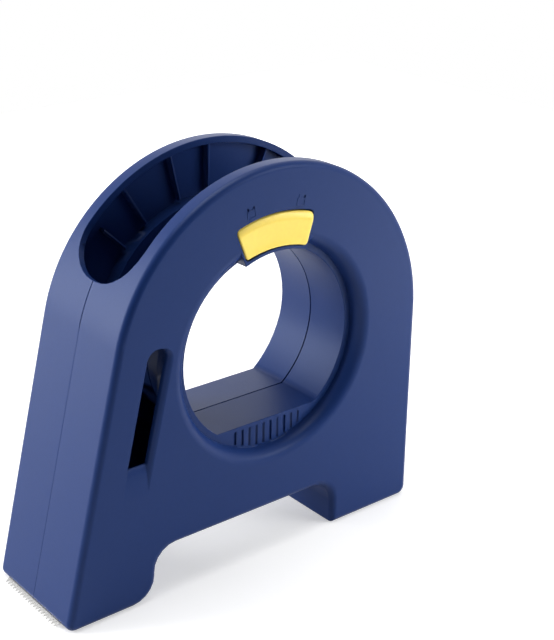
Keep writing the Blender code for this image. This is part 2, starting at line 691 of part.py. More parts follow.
def make_lock_half():
    """The half that the hand faces, with the rocker's block, its pocket and the pins' sockets."""
    side = -1
    half = case_half("near_shell", side)
    block_angle = ROCKER_HALF_ANGLE + BLOCK_MARGIN
    housing = sector((BORE_RADIUS + HUB_RADIUS) / 2, ROCKER_OUTER_RADIUS + HOUSING_MARGIN,
                     block_angle + BLOCK_MARGIN)
    add(half, plate("housing", housing, side, WALL_MIDDLE, HOUSING_BACK))

    dish = dish_cutter(side)
    kept = sector(BORE_RADIUS + BLOCK_LEDGE, DISH_RADIUS + OVERRUN, block_angle)
    cut(dish, plate("kept", kept, side, 0, HALF_WIDTH + 2 * OVERRUN))
    cut(half, dish)
    cut(half, *groove_cutters(side))

    pocket = rocker_outline(-POCKET_GAP)
    cut(half, plate("pocket", pocket, side, POCKET_FLOOR, HALF_WIDTH + OVERRUN))
    room = ROCKER_RIB_HALF + RIB_ROOM
    floor, roof = ROCKER_RIB_FOOT - FIT_GAP, ROCKER_RIB_HEAD + FIT_GAP
    y_range = (side * (HOUSING_BACK - OVERRUN), side * HALF_WIDTH)
    cut(half, block("rib_room", (-room, room), y_range, (floor, roof)))
    y_range = (side * (HOUSING_BACK - 2 * OVERRUN), side * RIB_BACK)
    cut(half, block("hook_room", (-room, room), y_range, (HOOK_BOTTOM - FIT_GAP, floor + OVERRUN)))
    cut(half, lock_passage(HOOK_HALF_WIDTH + 2 * FIT_GAP, -OVERRUN, RIB_BACK - OVERRUN / 2, side))
    foot = (0, side * PIVOT_Y, floor - PIVOT_FOOT - FIT_GAP)
    head = (0, side * PIVOT_Y, roof + PIVOT_TAIL + FIT_GAP)
    cut(half, rod("pivot_hole", foot, head, PIVOT_RADIUS + FIT_GAP, SCREW_SIDES))

    for x, z in pin_places():
        socket = circle((x, z), PIN_RADIUS + FIT_GAP)
        cut(half, plate("socket", socket, side, -OVERRUN, PIN_REACH + FIT_GAP))

    _, lug_outer, tip = screw_levels()
    for place in screw_places():
        boss = circle(place, SCREW_BOSS_RADIUS, SCREW_SIDES)
        add(half, plate("screw_boss", boss, side, WALL_MIDDLE, lug_outer + FIT_GAP))
        hole = circle(place, SCREW_RADIUS + FIT_GAP, SCREW_SIDES)
        cut(half, plate("screw_hole", hole, side, lug_outer - OVERRUN, tip + FIT_GAP))
    return half


def make_plain_half():
    """The half that comes off sideways, with the register pins and the hook's keeper."""
    side = 1
    half = case_half("far_shell", side)
    cut(half, dish_cutter(side))
    cut(half, *groove_cutters(side))
    keeper_face = SEAM_FACE + KEEPER_THICKNESS
    chamber_right = HOOK_HALF_WIDTH + HOOK_NOSE + 2 * FIT_GAP
    cut(half, lock_passage(HOOK_HALF_WIDTH + 2 * FIT_GAP, -OVERRUN, keeper_face + FIT_GAP, side))
    cut(half, lock_passage(chamber_right, keeper_face, CHAMBER_DEPTH, side))
    for x, z in pin_places():
        add(half, rod("pin", (x, SEAM_FACE + OVERRUN, z), (x, -PIN_REACH, z), PIN_RADIUS, SCREW_SIDES))
    return half


def sheet_outline(points, thickness):
    """The outline of a bent sheet that follows a line of points."""
    spans = [(Vector(b) - Vector(a)).normalized() for a, b in zip(points, points[1:])]
    one_side, other_side = [], []
    for i, point in enumerate(points):
        before, after = spans[max(i - 1, 0)], spans[min(i, len(spans) - 1)]
        across = Vector((-before.y - after.y, before.x + after.x)).normalized()
        reach = across * thickness / 2 / across.dot(Vector((-before.y, before.x)))
        one_side.append(tuple(Vector(point) + reach))
        other_side.append(tuple(Vector(point) - reach))
    return one_side + other_side[::-1]


def make_cutter():
    """A bent steel strip, flat behind the front wall and toothed where it runs out under it."""
    middle = BLADE_DEPTH + BLADE_THICKNESS / 2
    line = [(front_x(z, middle), z) for z in (BLADE_TOP, BLADE_BEND)]
    line.append((TIP_X - OVERRUN * ROUND_SHARE, FLOOR_GAP + BLADE_THICKNESS / 2))
    outline = sheet_outline(line, BLADE_THICKNESS)
    blade = prism("cutter_blade", outline, -BLADE_HALF_WIDTH, BLADE_HALF_WIDTH)

    pitch = 2 * BLADE_HALF_WIDTH / BLADE_TEETH
    end = BLADE_HALF_WIDTH + OVERRUN
    comb = [(TIP_X - 2 * OVERRUN, -end), (TIP_X + TOOTH_LENGTH, -end)]
    for i in range(BLADE_TEETH):
        y = i * pitch - BLADE_HALF_WIDTH
        comb += [(TIP_X + TOOTH_LENGTH, y), (TIP_X, y + pitch / 2)]
    comb += [(TIP_X + TOOTH_LENGTH, BLADE_HALF_WIDTH), (TIP_X + TOOTH_LENGTH, end), (TIP_X - 2 * OVERRUN, end)]
    levels = (-OVERRUN, BLADE_BEND + BLADE_THICKNESS)
    cut(blade, loft("comb", [[(x, y, z) for x, y in comb] for z in levels]))
    for y in (-BAR_PEG_SPACING / 2, BAR_PEG_SPACING / 2):
        hole_ends = (BLADE_DEPTH - OVERRUN, BLADE_DEPTH + BLADE_THICKNESS + OVERRUN)
        cut(blade, peg("peg_hole", y, *hole_ends, BAR_PEG_RADIUS + FIT_GAP))
    return blade


def peg(name, y, depth_start, depth_end, radius):
    """A round bar square to the front face."""
    x_step = math.cos(FRONT_LEAN)
    z_step = math.sin(FRONT_LEAN)
    base = Vector((front_x(BAR_PEG_HEIGHT, 0), y, BAR_PEG_HEIGHT))
    along = Vector((x_step, 0, -z_step))
    return rod(name, base + along * depth_start, base + along * depth_end, radius, SCREW_SIDES)


def make_bar():
    """The bar that carries the cutter, with pegs for it and a lug for two screws."""
    section = [
        (front_x(BAR_BOTTOM, BAR_DEPTH), BAR_BOTTOM),
        (front_x(BAR_BOTTOM, BAR_BACK), BAR_BOTTOM),
        (front_x(BAR_TOP, BAR_BACK), BAR_TOP),
        (front_x(BAR_TOP, BAR_DEPTH), BAR_TOP),
    ]
    bar = prism("cutter_bar", section, -BLADE_HALF_WIDTH, BLADE_HALF_WIDTH)
    inner, outer, _ = screw_levels()
    lug_front = BAR_DEPTH + BAR_THICKNESS / 2
    lug = rounded([
        (front_x(LUG_BOTTOM, lug_front), LUG_BOTTOM, SLOT_CORNER),
        (front_x(LUG_BOTTOM, LUG_BACK), LUG_BOTTOM, SCREW_BOSS_RADIUS),
        (front_x(LUG_TOP, LUG_BACK), LUG_TOP, SCREW_BOSS_RADIUS),
        (front_x(LUG_TOP, lug_front), LUG_TOP, SCREW_BOSS_RADIUS),
    ])
    add(bar, plate("lug", lug, -1, inner, outer))
    for place in screw_places():
        hole = circle(place, SCREW_RADIUS + FIT_GAP, SCREW_SIDES)
        cut(bar, plate("lug_hole", hole, -1, inner - OVERRUN, outer + OVERRUN))
    for y in (-BAR_PEG_SPACING / 2, BAR_PEG_SPACING / 2):
        add(bar, peg("peg", y, BLADE_DEPTH + BLADE_THICKNESS / 3, BAR_BACK - BAR_THICKNESS / 2, BAR_PEG_RADIUS))
    return bar


def make_screw(name, place):
    """A pan-head screw with a straight slot, driven through the lug into the side wall."""
    inner, _, tip = screw_levels()
    seat = inner - FIT_GAP
    top = seat - SCREW_HEAD_HEIGHT
    crown = SCREW_HEAD_RADIUS * (1 - ROUND_SHARE)
    profile = [(0, -top), (crown, -top), (SCREW_HEAD_RADIUS, -(top + seat) / 2), (SCREW_HEAD_RADIUS, -seat),
               (SCREW_RADIUS, -seat), (SCREW_RADIUS, -tip + SCREW_RADIUS), (0, -tip)]
    screw = turned(name, profile, place, SCREW_SIDES)
    x, z = place
    reach = SCREW_HEAD_RADIUS + OVERRUN
    x_range = (x - reach, x + reach)
    z_range = (z - SCREW_SLOT_WIDTH / 2, z + SCREW_SLOT_WIDTH / 2)
    cut(screw, block("screw_slot", x_range, (-(top + SCREW_SLOT_DEPTH), OVERRUN - top), z_range))
    return screw


def make_rocker():
    """The yellow rocker: a dished cap over the pocket and a rib that turns on the pivot."""
    side = -1
    bottom = ROCKER_FACE - ROCKER_THICKNESS
    sections = []
    levels = [(bottom, 0), (ROCKER_FACE - ROCKER_EDGE, 0), (ROCKER_FACE, ROCKER_EDGE)]
    for y, inset in levels:
        sections.append([(x, side * y, z) for x, z in rocker_outline(inset)])
    rocker = loft("lock_rocker", sections)

    scoop_radius = ROCKER_REACH ** 2 / (2 * ROCKER_DISH)
    scoop_y = ROCKER_FACE - ROCKER_DISH + scoop_radius
    swing = math.asin(ROCKER_REACH / scoop_radius)
    bowl = []
    for i in range(ROCKER_STEPS + 1):
        turn = swing * (2 * i / ROCKER_STEPS - 1)
        bowl.append((scoop_radius * math.sin(turn), side * (scoop_y - scoop_radius * math.cos(turn))))
    bowl += [(ROCKER_REACH, side * (ROCKER_FACE + OVERRUN)), (-ROCKER_REACH, side * (ROCKER_FACE + OVERRUN))]
    middle = AXIS_HEIGHT + (ROCKER_INNER_RADIUS + ROCKER_OUTER_RADIUS) / 2
    half_height = (ROCKER_OUTER_RADIUS - ROCKER_INNER_RADIUS) / 2 - 2 * ROCKER_EDGE
    levels = (middle - half_height, middle + half_height)
    scoop = loft("scoop", [[(x, y, z) for x, y in bowl] for z in levels])
    cut(rocker, scoop)

    y_range = (side * (bottom + ROCKER_EDGE), side * RIB_BACK)
    add(rocker, block("rib", (-ROCKER_RIB_HALF, ROCKER_RIB_HALF), y_range, (ROCKER_RIB_FOOT, ROCKER_RIB_HEAD)))
    foot = (0, side * PIVOT_Y, ROCKER_RIB_FOOT - OVERRUN)
    head = (0, side * PIVOT_Y, ROCKER_RIB_HEAD + OVERRUN)
    cut(rocker, rod("hole", foot, head, PIVOT_RADIUS + FIT_GAP, SCREW_SIDES))
    turn_about_pivot(rocker, -ROCKER_TILT)
    add(rocker, rivet("rivet", RIB_BACK + ROCKER_EDGE, RIVET_RADIUS))
    return rocker


def rivet(name, y_start, radius):
    """A stub on the rocker's rib that holds the hook's tab."""
    height = HOOK_TOP + HOOK_TAB_RISE / 2
    y_end = RIB_BACK - 2 * FIT_GAP - HOOK_THICKNESS - 2 * FIT_GAP
    return rod(name, (0, -y_start, height), (0, -y_end, height), radius, SCREW_SIDES)


def turn_about_pivot(piece, angle):
    pivot = Vector((0, -PIVOT_Y, 0))
    turn = Matrix.Translation(pivot) @ Matrix.Rotation(angle, 4, "Z") @ Matrix.Translation(-pivot)
    piece.data.transform(turn)


def make_hook():
    """The steel hook: a tab behind the rocker's rib, an arm over the bore and a nose past the seam."""
    tab_front = RIB_BACK - 2 * FIT_GAP
    tab_back = tab_front - HOOK_THICKNESS
    nose_end = HOOK_NOSE_FACE + HOOK_NOSE_LENGTH
    half = HOOK_HALF_WIDTH
    z_range = (HOOK_BOTTOM, HOOK_TOP)
    hook = block("lock_hook", (-half, half), (-tab_front, nose_end), z_range)
    tab_rise = (HOOK_BOTTOM, HOOK_TOP + HOOK_TAB_RISE)
    add(hook, block("tab", (-half, half), (-tab_front, -tab_back), tab_rise))
    nose = [(half - FIT_GAP, HOOK_NOSE_FACE), (half + HOOK_NOSE, HOOK_NOSE_FACE),
            (half + HOOK_NOSE, nose_end - HOOK_THICKNESS), (half + HOOK_THICKNESS / 2, nose_end),
            (half - FIT_GAP, nose_end)]
    add(hook, loft("nose", [[(x, y, z) for x, y in nose] for z in z_range]))
    cut(hook, rivet("rivet_hole", RIB_BACK, RIVET_RADIUS + FIT_GAP))
    return hook


def make_pivot():
    """The pin that the rocker turns on, held in the shelf and in the pocket's upper wall."""
    foot = ROCKER_RIB_FOOT - FIT_GAP - PIVOT_FOOT
    head = ROCKER_RIB_HEAD + FIT_GAP + PIVOT_TAIL
    return rod("lock_pivot", (0, -PIVOT_Y, foot), (0, -PIVOT_Y, head), PIVOT_RADIUS, SCREW_SIDES)


def make_guide_roller():
    """A plain roller with a low flange at each end, which steers the tape down to the nose."""
    rim = GUIDE_RADIUS + GUIDE_FLANGE
    flat = ROLLER_HALF - GUIDE_FLANGE_WIDTH
    slope = flat - GUIDE_FLANGE
    outer = [(rim, -ROLLER_HALF), (rim, -flat), (GUIDE_RADIUS, -slope), (GUIDE_RADIUS, slope),
             (rim, flat), (rim, ROLLER_HALF)]
    return tube("guide_roller", outer, AXLE_RADIUS + ROLLER_BORE_GAP, (GUIDE_X, GUIDE_HEIGHT), ROLLER_HALF)


def make_press_roller():
    """The hard core of the roller that presses the tape down."""
    outer = [(PRESS_CORE_RADIUS, -ROLLER_HALF), (PRESS_CORE_RADIUS, ROLLER_HALF)]
    centre = (PRESS_X, PRESS_HEIGHT)
    return tube("press_roller", outer, AXLE_RADIUS + ROLLER_BORE_GAP, centre, ROLLER_HALF)


def make_press_tyre():
    """The soft tyre on the press roller, with shallow grooves round it."""
    pitch = 2 * ROLLER_HALF / PRESS_GROOVES
    low = PRESS_RADIUS - PRESS_GROOVE_DEPTH
    outer = []
    for i in range(PRESS_GROOVES):
        start = i * pitch - ROLLER_HALF
        outer += [(low, start), (PRESS_RADIUS, start + PRESS_GROOVE_DEPTH)]
        outer += [(PRESS_RADIUS, start + pitch - PRESS_GROOVE_DEPTH)]
    outer += [(low, ROLLER_HALF)]
    inner = PRESS_CORE_RADIUS + FIT_GAP
    return tube("press_tyre", outer, inner, (PRESS_X, PRESS_HEIGHT), ROLLER_HALF)


def make_axle(name, place):
    x, z = place
    return rod(name, (x, -AXLE_END, z), (x, AXLE_END, z), AXLE_RADIUS)


def finish(piece, coat, parent, pivot):
    """Give a piece its finish, and its origin on pivot, under the empty it moves with."""
    piece.data.materials.clear()
    piece.data.materials.append(coat)
    piece.data.transform(Matrix.Translation(-Vector(pivot)))
    piece.parent = parent
    piece.location = Vector(pivot) - parent_place(parent)
    piece.data.shade_smooth()
    piece.data.set_sharp_from_angle(angle=math.radians(30.0))


def parent_place(parent):
    """Where an empty stands in the model's own coordinates."""
    return Vector(parent["place"])


def make_empty(name, place, parent=None):
    empty = bpy.data.objects.new(name, None)
    bpy.context.scene.collection.objects.link(empty)
    empty["place"] = place
    empty.parent = parent
    if parent is None:
        empty.location = (AXIS_X, SEAM_Y, 0)
    else:
        empty.location = Vector(place) - parent_place(parent)
    return empty


def main():
    clear_scene()
    navy = material("moulded_navy", (0.030, 0.054, 0.190), 0.42, 0)
    yellow = material("moulded_yellow", (0.96, 0.66, 0.13), 0.38, 0)
    black = material("moulded_black", (0.03, 0.03, 0.035), 0.50, 0)
    white = material("moulded_white", (0.75, 0.75, 0.73), 0.40, 0)
    steel = material("bright_steel", (0.72, 0.73, 0.74), 0.28, 1)
    rubber = material("grey_rubber", (0.10, 0.10, 0.105), 0.80, 0)

    case = make_empty("case", (0, 0, 0))
    guide_axis = (GUIDE_X, 0, GUIDE_HEIGHT)
    press_axis = (PRESS_X, 0, PRESS_HEIGHT)
    lock_axis = (0, -PIVOT_Y, AXIS_HEIGHT + ROCKER_INNER_RADIUS)
    lock = make_empty("lock_axis", lock_axis, case)
    press = make_empty("press_axis", press_axis, case)

    finish(make_lock_half(), navy, case, (0, 0, 0))
    finish(make_plain_half(), navy, case, (0, 0, 0))
    finish(make_cutter(), steel, case, (0, 0, 0))
    finish(make_bar(), black, case, (0, 0, 0))
    for name, place in zip(("bar_screw_lower", "bar_screw_upper"), screw_places()):
        finish(make_screw(name, place), steel, case, (place[0], 0, place[1]))
    finish(make_pivot(), steel, case, lock_axis)
    finish(make_rocker(), yellow, lock, lock_axis)
    finish(make_hook(), steel, lock, lock_axis)
    finish(make_guide_roller(), white, case, guide_axis)
    finish(make_axle("guide_axle", (GUIDE_X, GUIDE_HEIGHT)), steel, case, guide_axis)
    finish(make_press_roller(), white, press, press_axis)
    finish(make_press_tyre(), rubber, press, press_axis)
    finish(make_axle("press_axle", (PRESS_X, PRESS_HEIGHT)), steel, case, press_axis)


main()
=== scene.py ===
import math

import bmesh
import bpy
from mathutils import Matrix, Vector


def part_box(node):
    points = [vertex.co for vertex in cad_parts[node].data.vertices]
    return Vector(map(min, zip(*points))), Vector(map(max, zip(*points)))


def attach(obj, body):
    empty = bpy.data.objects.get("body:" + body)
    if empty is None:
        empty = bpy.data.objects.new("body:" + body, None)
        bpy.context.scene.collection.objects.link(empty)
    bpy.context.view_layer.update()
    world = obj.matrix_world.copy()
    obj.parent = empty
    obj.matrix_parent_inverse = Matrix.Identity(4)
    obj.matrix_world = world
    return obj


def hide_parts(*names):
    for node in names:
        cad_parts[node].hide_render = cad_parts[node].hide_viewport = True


print("scene: loading the frame")
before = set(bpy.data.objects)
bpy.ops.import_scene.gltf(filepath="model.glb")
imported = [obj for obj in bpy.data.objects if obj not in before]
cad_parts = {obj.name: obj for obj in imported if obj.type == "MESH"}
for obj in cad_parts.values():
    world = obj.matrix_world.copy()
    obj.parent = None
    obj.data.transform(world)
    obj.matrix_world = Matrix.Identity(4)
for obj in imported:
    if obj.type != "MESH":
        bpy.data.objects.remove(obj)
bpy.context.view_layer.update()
mm = 0.001

# Sizes of the case that several pieces share, and the places that follow from them, in metres
case = {"radius": 65 * mm, "hubHeight": 78 * mm, "seamDepth": 23.2 * mm, "noseLean": math.radians(13.7)}
caseLow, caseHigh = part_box("near_shell")
hubAxis = Vector((caseHigh.x - case["radius"], 0, case["hubHeight"]))
nearFace = caseLow.y
seamY = nearFace + case["seamDepth"]


def deselectAll():
    bpy.ops.object.select_all(action="DESELECT")


def makeActive(piece):
    deselectAll()
    piece.select_set(True)
    bpy.context.view_layer.objects.active = piece


def applyPlace(piece):
    makeActive(piece)
    bpy.ops.object.transform_apply(location=True, rotation=True, scale=True)


def editAll():
    bpy.ops.object.mode_set(mode="EDIT")
    bpy.ops.mesh.select_all(action="SELECT")


def endEdit():
    bpy.ops.object.mode_set(mode="OBJECT")


def dress(piece, material, body):
    piece.data.materials.clear()
    piece.data.materials.append(material)
    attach(piece, body)


# How a copy of a CAD node is cleaned, bevelled and shaded
copying = {
    "merge": 0.002 * mm, "flat": math.radians(0.3), "segments": 2, "sharp": math.radians(28),
    "smooth": math.radians(40),
}


def mergedCopy(node, name, bevel=0.0, shape=None):
    # a smoothed copy of a CAD node, with its edges broken by a small bevel or by a function of its own
    piece = bpy.data.objects.new(name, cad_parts[node].data.copy())
    bpy.context.scene.collection.objects.link(piece)
    makeActive(piece)
    editAll()
    bpy.ops.mesh.remove_doubles(threshold=copying["merge"])
    bpy.ops.mesh.dissolve_limited(angle_limit=copying["flat"])
    endEdit()
    if shape:
        shape(piece)
    if bevel:
        rounding = piece.modifiers.new("edges", "BEVEL")
        rounding.width = bevel
        rounding.segments = copying["segments"]
        rounding.limit_method = "ANGLE"
        rounding.angle_limit = copying["sharp"]
        rounding.miter_outer = "MITER_ARC"
        rounding.use_clamp_overlap = True
    weights = piece.modifiers.new("weights", "WEIGHTED_NORMAL")
    weights.keep_sharp = True
    triangles = piece.modifiers.new("triangles", "TRIANGULATE")
    triangles.quad_method = "BEAUTY"
    triangles.ngon_method = "BEAUTY"
    triangles.keep_custom_normals = True
    bpy.ops.object.shade_smooth_by_angle(angle=copying["smooth"])
    for modifier in list(piece.modifiers):
        bpy.ops.object.modifier_apply(modifier=modifier.name)
    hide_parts(node)
    return piece


def dressCopies(specs):
    # each spec is a node, its copy's name, the bevel's width, and the copy's material, body and slot
    for node, name, bevel, material, body, slot in specs:
        dress(mergedCopy(node, name, bevel), material, body)


def newGroup(name, inputs, outputs):
    group = bpy.data.node_groups.new(name, "ShaderNodeTree")
    for label, kind, value in inputs:
        socket = group.interface.new_socket(name=label, in_out="INPUT", socket_type=kind)
        socket.default_value = value
    for label, kind in outputs:
        group.interface.new_socket(name=label, in_out="OUTPUT", socket_type=kind)
    start = group.nodes.new("NodeGroupInput")
    end = group.nodes.new("NodeGroupOutput")
    return group, start, end


def feed(tree, socket, value):
    # links a node's output to a socket, or sets the socket's own value
    if hasattr(value, "links"):
        tree.links.new(value, socket)
    else:
        socket.default_value = value


def mathNode(tree, operation, first, second):
    node = tree.nodes.new("ShaderNodeMath")
    node.operation = operation
    feed(tree, node.inputs[0], first)
    feed(tree, node.inputs[1], second)
    return node.outputs[0]


def mixColour(tree, factor, first, second):
    # the mix node has one set of sockets per data type, and these are the colour's numbers
    factorSlot, firstSlot, secondSlot, resultSlot = 0, 6, 7, 2
    node = tree.nodes.new("ShaderNodeMix")
    node.data_type = "RGBA"
    feed(tree, node.inputs[factorSlot], factor)
    feed(tree, node.inputs[firstSlot], first)
    feed(tree, node.inputs[secondSlot], second)
    return node.outputs[resultSlot]


def noise(tree, place, scale, detail, roughness=0.55):
    node = tree.nodes.new("ShaderNodeTexNoise")
    tree.links.new(place, node.inputs["Vector"])
    feed(tree, node.inputs["Scale"], scale)
    node.inputs["Detail"].default_value = detail
    node.inputs["Roughness"].default_value = roughness
    return node.outputs["Fac"]


def bumpNode(tree, height, strength, distance):
    node = tree.nodes.new("ShaderNodeBump")
    node.inputs["Distance"].default_value = distance
    feed(tree, node.inputs["Strength"], strength)
    tree.links.new(height, node.inputs["Height"])
    return node.outputs["Normal"]


mouldedLook = {
    "cloudScale": 22.0, "cloudDetail": 3.0, "fleckScale": 700.0, "fleckDetail": 2.0, "fleckAmount": 0.12,
    "grainDetail": 2.0, "grainRoughness": 0.6, "bump": 0.06 * mm,
}


def moulded():
    # fine spark-eroded grain, faint flow clouds and a few paler specks, as on moulded plastic
    look = mouldedLook
    group, start, end = newGroup(
        "mouldedSkin",
        [("Colour", "NodeSocketColor", (0.5, 0.5, 0.5, 1)),
         ("Cloud Amount", "NodeSocketFloat", 0.1),
         ("Grain Scale", "NodeSocketFloat", 2400.0),
         ("Grain Height", "NodeSocketFloat", 0.3),
         ("Roughness", "NodeSocketFloat", 0.4),
         ("Roughness Spread", "NodeSocketFloat", 0.08)],
        [("Colour", "NodeSocketColor"), ("Roughness", "NodeSocketFloat"), ("Normal", "NodeSocketVector")])
    place = group.nodes.new("ShaderNodeTexCoord").outputs["Object"]
    cloud = noise(group, place, look["cloudScale"], look["cloudDetail"])
    fleck = noise(group, place, look["fleckScale"], look["fleckDetail"])
    grain = noise(group, place, start.outputs["Grain Scale"], look["grainDetail"], look["grainRoughness"])
    cloudSwing = mathNode(group, "SUBTRACT", cloud, 0.5)
    fleckSwing = mathNode(group, "SUBTRACT", fleck, 0.5)
    grainSwing = mathNode(group, "SUBTRACT", grain, 0.5)

    lift = mathNode(group, "MULTIPLY", cloudSwing, start.outputs["Cloud Amount"])
    speck = mathNode(group, "MULTIPLY", fleckSwing, look["fleckAmount"])
    value = mathNode(group, "ADD", mathNode(group, "ADD", lift, speck), 1.0)
    shade = group.nodes.new("ShaderNodeHueSaturation")
    group.links.new(start.outputs["Colour"], shade.inputs["Color"])
    group.links.new(value, shade.inputs["Value"])
    group.links.new(shade.outputs["Color"], end.inputs["Colour"])

    both = mathNode(group, "ADD", cloudSwing, grainSwing)
    spread = mathNode(group, "MULTIPLY", both, start.outputs["Roughness Spread"])
    rough = mathNode(group, "ADD", start.outputs["Roughness"], spread)
    group.links.new(rough, end.inputs["Roughness"])
    normal = bumpNode(group, grain, start.outputs["Grain Height"], look["bump"])
    group.links.new(normal, end.inputs["Normal"])
    return group


steelLook = {
    "stretch": (1.0, 0.03, 1.0), "lineDetail": 3.0, "lineAmount": 0.35, "lineColour": (0.42, 0.42, 0.41, 1),
    "stainScale": 160.0, "stainDetail": 3.0, "stainAmount": 0.2, "stainColour": (0.50, 0.47, 0.42, 1),
    "roughening": 0.12, "bump": 0.02 * mm, "bumpStrength": 0.35,
}


def rolledSteel():
    # fine lines along the strip, and small changes in brightness
    look = steelLook
    group, start, end = newGroup(
        "rolledSteel",
        [("Colour", "NodeSocketColor", (0.7, 0.7, 0.7, 1)),
         ("Line Scale", "NodeSocketFloat", 9000.0),
         ("Roughness", "NodeSocketFloat", 0.25)],
        [("Colour", "NodeSocketColor"), ("Roughness", "NodeSocketFloat"), ("Normal", "NodeSocketVector")])
    place = group.nodes.new("ShaderNodeTexCoord").outputs["Object"]
    stretch = group.nodes.new("ShaderNodeMapping")
    stretch.inputs["Scale"].default_value = look["stretch"]
    group.links.new(place, stretch.inputs["Vector"])
    lines = noise(group, stretch.outputs["Vector"], start.outputs["Line Scale"], look["lineDetail"])
    stain = noise(group, place, look["stainScale"], look["stainDetail"])

    lineShare = mathNode(group, "MULTIPLY", lines, look["lineAmount"])
    darker = mixColour(group, lineShare, start.outputs["Colour"], look["lineColour"])
    stainShare = mathNode(group, "MULTIPLY", stain, look["stainAmount"])
    tint = mixColour(group, stainShare, darker, look["stainColour"])
    group.links.new(tint, end.inputs["Colour"])

    roughening = mathNode(group, "MULTIPLY", lines, look["roughening"])
    rough = mathNode(group, "ADD", start.outputs["Roughness"], roughening)
    group.links.new(rough, end.inputs["Roughness"])
    normal = bumpNode(group, lines, look["bumpStrength"], look["bump"])
    group.links.new(normal, end.inputs["Normal"])
    return group


def finish(name, group, values, settings):
    # one Principled shader whose changing inputs come from a shared group
    material = bpy.data.materials.new(name)
    material.use_nodes = True
    tree = material.node_tree
    shader = tree.nodes["Principled BSDF"]
    skin = tree.nodes.new("ShaderNodeGroup")
    skin.node_tree = group
    for label, value in values.items():
        skin.inputs[label].default_value = value
    tree.links.new(skin.outputs["Colour"], shader.inputs["Base Color"])
    tree.links.new(skin.outputs["Roughness"], shader.inputs["Roughness"])
    tree.links.new(skin.outputs["Normal"], shader.inputs["Normal"])
    for label, value in settings.items():
        shader.inputs[label].default_value = value
    return material


print("scene: making the finishes")
mouldedSkin = moulded()
steelSkin = rolledSteel()
navyPlastic = finish("navyPlastic", mouldedSkin,
                     {"Colour": (0.0086, 0.0268, 0.118, 1), "Cloud Amount": 0.08, "Grain Scale": 2600.0,
                      "Grain Height": 0.32, "Roughness": 0.4, "Roughness Spread": 0.08},
                     {"Specular IOR Level": 0.22, "Specular Tint": (0.70, 0.80, 1.0, 1)})
yellowPlastic = finish("yellowPlastic", mouldedSkin,
                       {"Colour": (0.98, 0.74, 0.13, 1), "Cloud Amount": 0.03, "Grain Scale": 3000.0,
                        "Grain Height": 0.15, "Roughness": 0.30, "Roughness Spread": 0.06},
                       {"Specular IOR Level": 0.5})
blackPlastic = finish("blackPlastic", mouldedSkin,
                      {"Colour": (0.018, 0.018, 0.021, 1), "Cloud Amount": 0.2, "Grain Scale": 2200.0,
                       "Grain Height": 0.4, "Roughness": 0.48, "Roughness Spread": 0.12},
                      {"Specular IOR Level": 0.5})
whitePlastic = finish("whitePlastic", mouldedSkin,
                      {"Colour": (0.60, 0.60, 0.58, 1), "Cloud Amount": 0.06, "Grain Scale": 2400.0,
                       "Grain Height": 0.2, "Roughness": 0.42, "Roughness Spread": 0.08},
                      {"Specular IOR Level": 0.5})
greyRubber = finish("greyRubber", mouldedSkin,
                    {"Colour": (0.055, 0.055, 0.058, 1), "Cloud Amount": 0.3, "Grain Scale": 1500.0,
                     "Grain Height": 0.7, "Roughness": 0.78, "Roughness Spread": 0.12},
                    {"Specular IOR Level": 0.4})
stripSteel = finish("stripSteel", steelSkin,
                    {"Colour": (0.70, 0.70, 0.69, 1), "Line Scale": 9000.0, "Roughness": 0.24},
                    {"Metallic": 1.0})
rodSteel = finish("rodSteel", steelSkin,
                  {"Colour": (0.56, 0.56, 0.56, 1), "Line Scale": 5000.0, "Roughness": 0.32},
                  {"Metallic": 1.0})


# Depths are measured from the seam, radii from the hub's axis and levels from the floor
caseHalves = {
    "edge": 0.22 * mm, "steps": 2, "sharp": math.radians(30), "shortest": 0.2 * mm,
    "hole": (32.5 * mm, 35.3 * mm), "holeDepth": 17.0 * mm, "palm": (49.5 * mm, 51.5 * mm),
    "rim": (35.3 * mm, 42.8 * mm), "rimDepth": 22.9 * mm, "mouth": 62.0 * mm, "mouthDepth": 17.2 * mm,
    "slotIn": 11.6 * mm, "slotAway": 0.3 * mm, "merge": 0.02 * mm, "speck": 0.01 * mm,
}


def isWithin(values, limits):
    return limits[0] < min(values) and max(values) < limits[1]


def slotEdgeX(level):
    # where one long edge of the slot crosses a level; it runs beside the leaning nose
    along = math.sin(case["noseLean"]) * (level - hubAxis.z)
    return (along - case["radius"] + caseHalves["slotIn"]) / math.cos(case["noseLean"]) + hubAxis.x


def isMouldedEdge(edge):
    # true for the edges of the hand hole, the palm rest, the lock's block, the mouth and the slot
    size = caseHalves
    if len(edge.link_faces) != 2 or edge.calc_length() < size["shortest"]:
        return False
    if edge.calc_face_angle(0) < size["sharp"]:
        return False
    ends = [vertex.co for vertex in edge.verts]
    radii = [math.hypot(end.x - hubAxis.x, end.z - hubAxis.z) for end in ends]
    depths = [abs(end.y - seamY) for end in ends]
    levels = [end.z for end in ends]
    inHole = min(depths) > size["holeDepth"]
    onSide = min(depths) > size["rimDepth"]
    onHole = isWithin(radii, size["hole"]) and inHole
    onPalm = isWithin(levels, size["palm"]) and inHole and max(radii) < size["hole"][1]
    onRim = isWithin(radii, size["rim"]) and onSide
    onMouth = min(radii) > size["mouth"] and min(levels) > hubAxis.z and max(depths) < size["mouthDepth"]
    onSlot = max(abs(end.x - slotEdgeX(end.z)) for end in ends) < size["slotAway"] and onSide
    return onHole or onPalm or onRim or onMouth or onSlot


